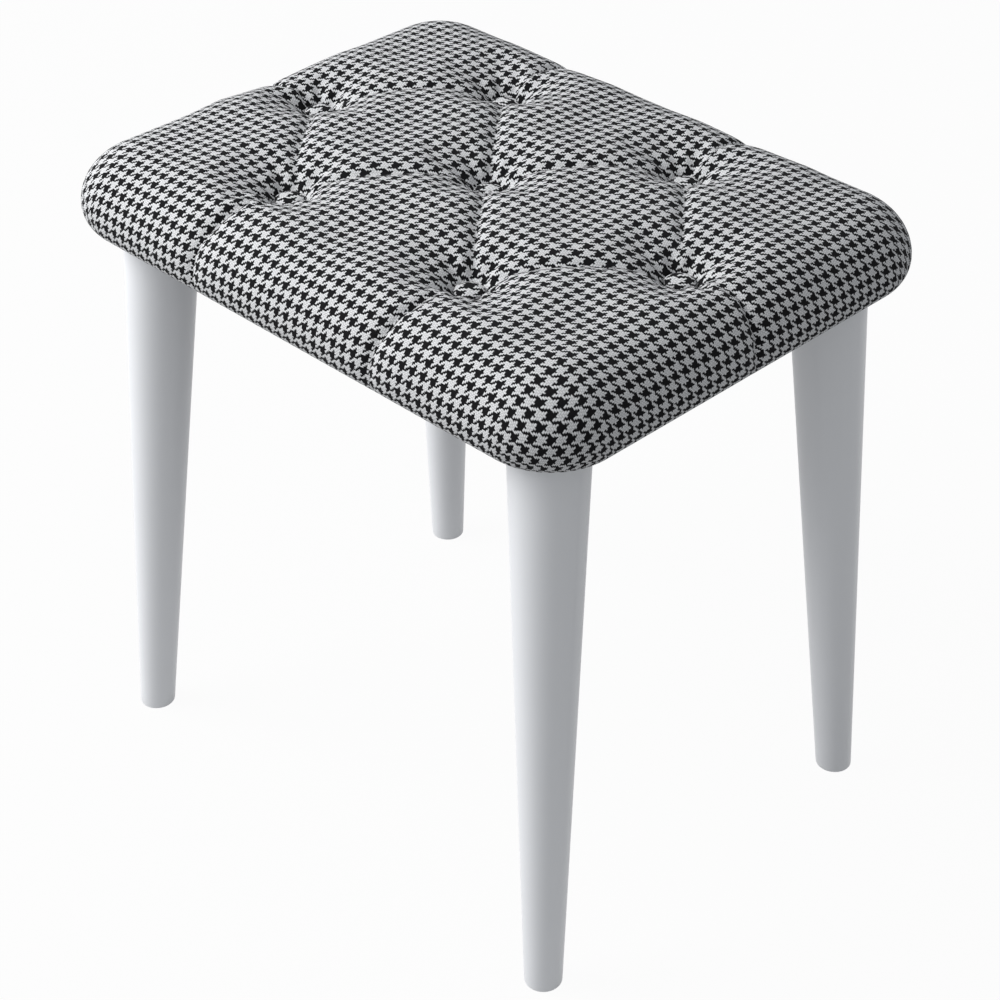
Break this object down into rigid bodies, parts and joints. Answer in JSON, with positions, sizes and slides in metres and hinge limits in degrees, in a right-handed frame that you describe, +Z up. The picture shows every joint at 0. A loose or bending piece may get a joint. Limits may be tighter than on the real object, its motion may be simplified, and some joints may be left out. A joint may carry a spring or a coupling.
{
  "type": "tufted footstool",
  "caption": "Low upholstered footstool: a rectangular button-tufted seat in woven houndstooth cloth on splayed conical white legs that screw into angled plates.",
  "frame": {"origin": "on the floor, under the middle of the seat", "axes": "+X along the seat's length, +Y across its width, +Z up"},
  "size_m": [0.45, 0.35, 0.46],
  "materials": {
    "houndstooth": "woven black and white houndstooth, matt",
    "foam": "open-cell upholstery foam",
    "plywood": "bare plywood",
    "dust_cloth": "thin non-woven cloth",
    "twine": "waxed tufting twine",
    "steel": "zinc-plated steel",
    "white_paint": "wood in satin white paint"
  },
  "bodies": {
    "root": {"seat_cover": "houndstooth", "tuft_buttons": "houndstooth", "foam_pad": "foam", "seat_board": "plywood", "dust_cover": "dust_cloth", "tuft_twines": "twine", "cover_staples": "steel", "twine_staples": "steel", "dust_cover_staples": "steel", "plate_screws": "steel", "leg_plate_front_left": "steel", "leg_plate_front_right": "steel", "leg_plate_back_left": "steel", "leg_plate_back_right": "steel", "hanger_bolt_front_left": "steel", "hanger_bolt_front_right": "steel", "hanger_bolt_back_left": "steel", "hanger_bolt_back_right": "steel", "leg_front_left": "white_paint", "leg_front_right": "white_paint", "leg_back_left": "white_paint", "leg_back_right": "white_paint"}
  },
  "joints": []
}
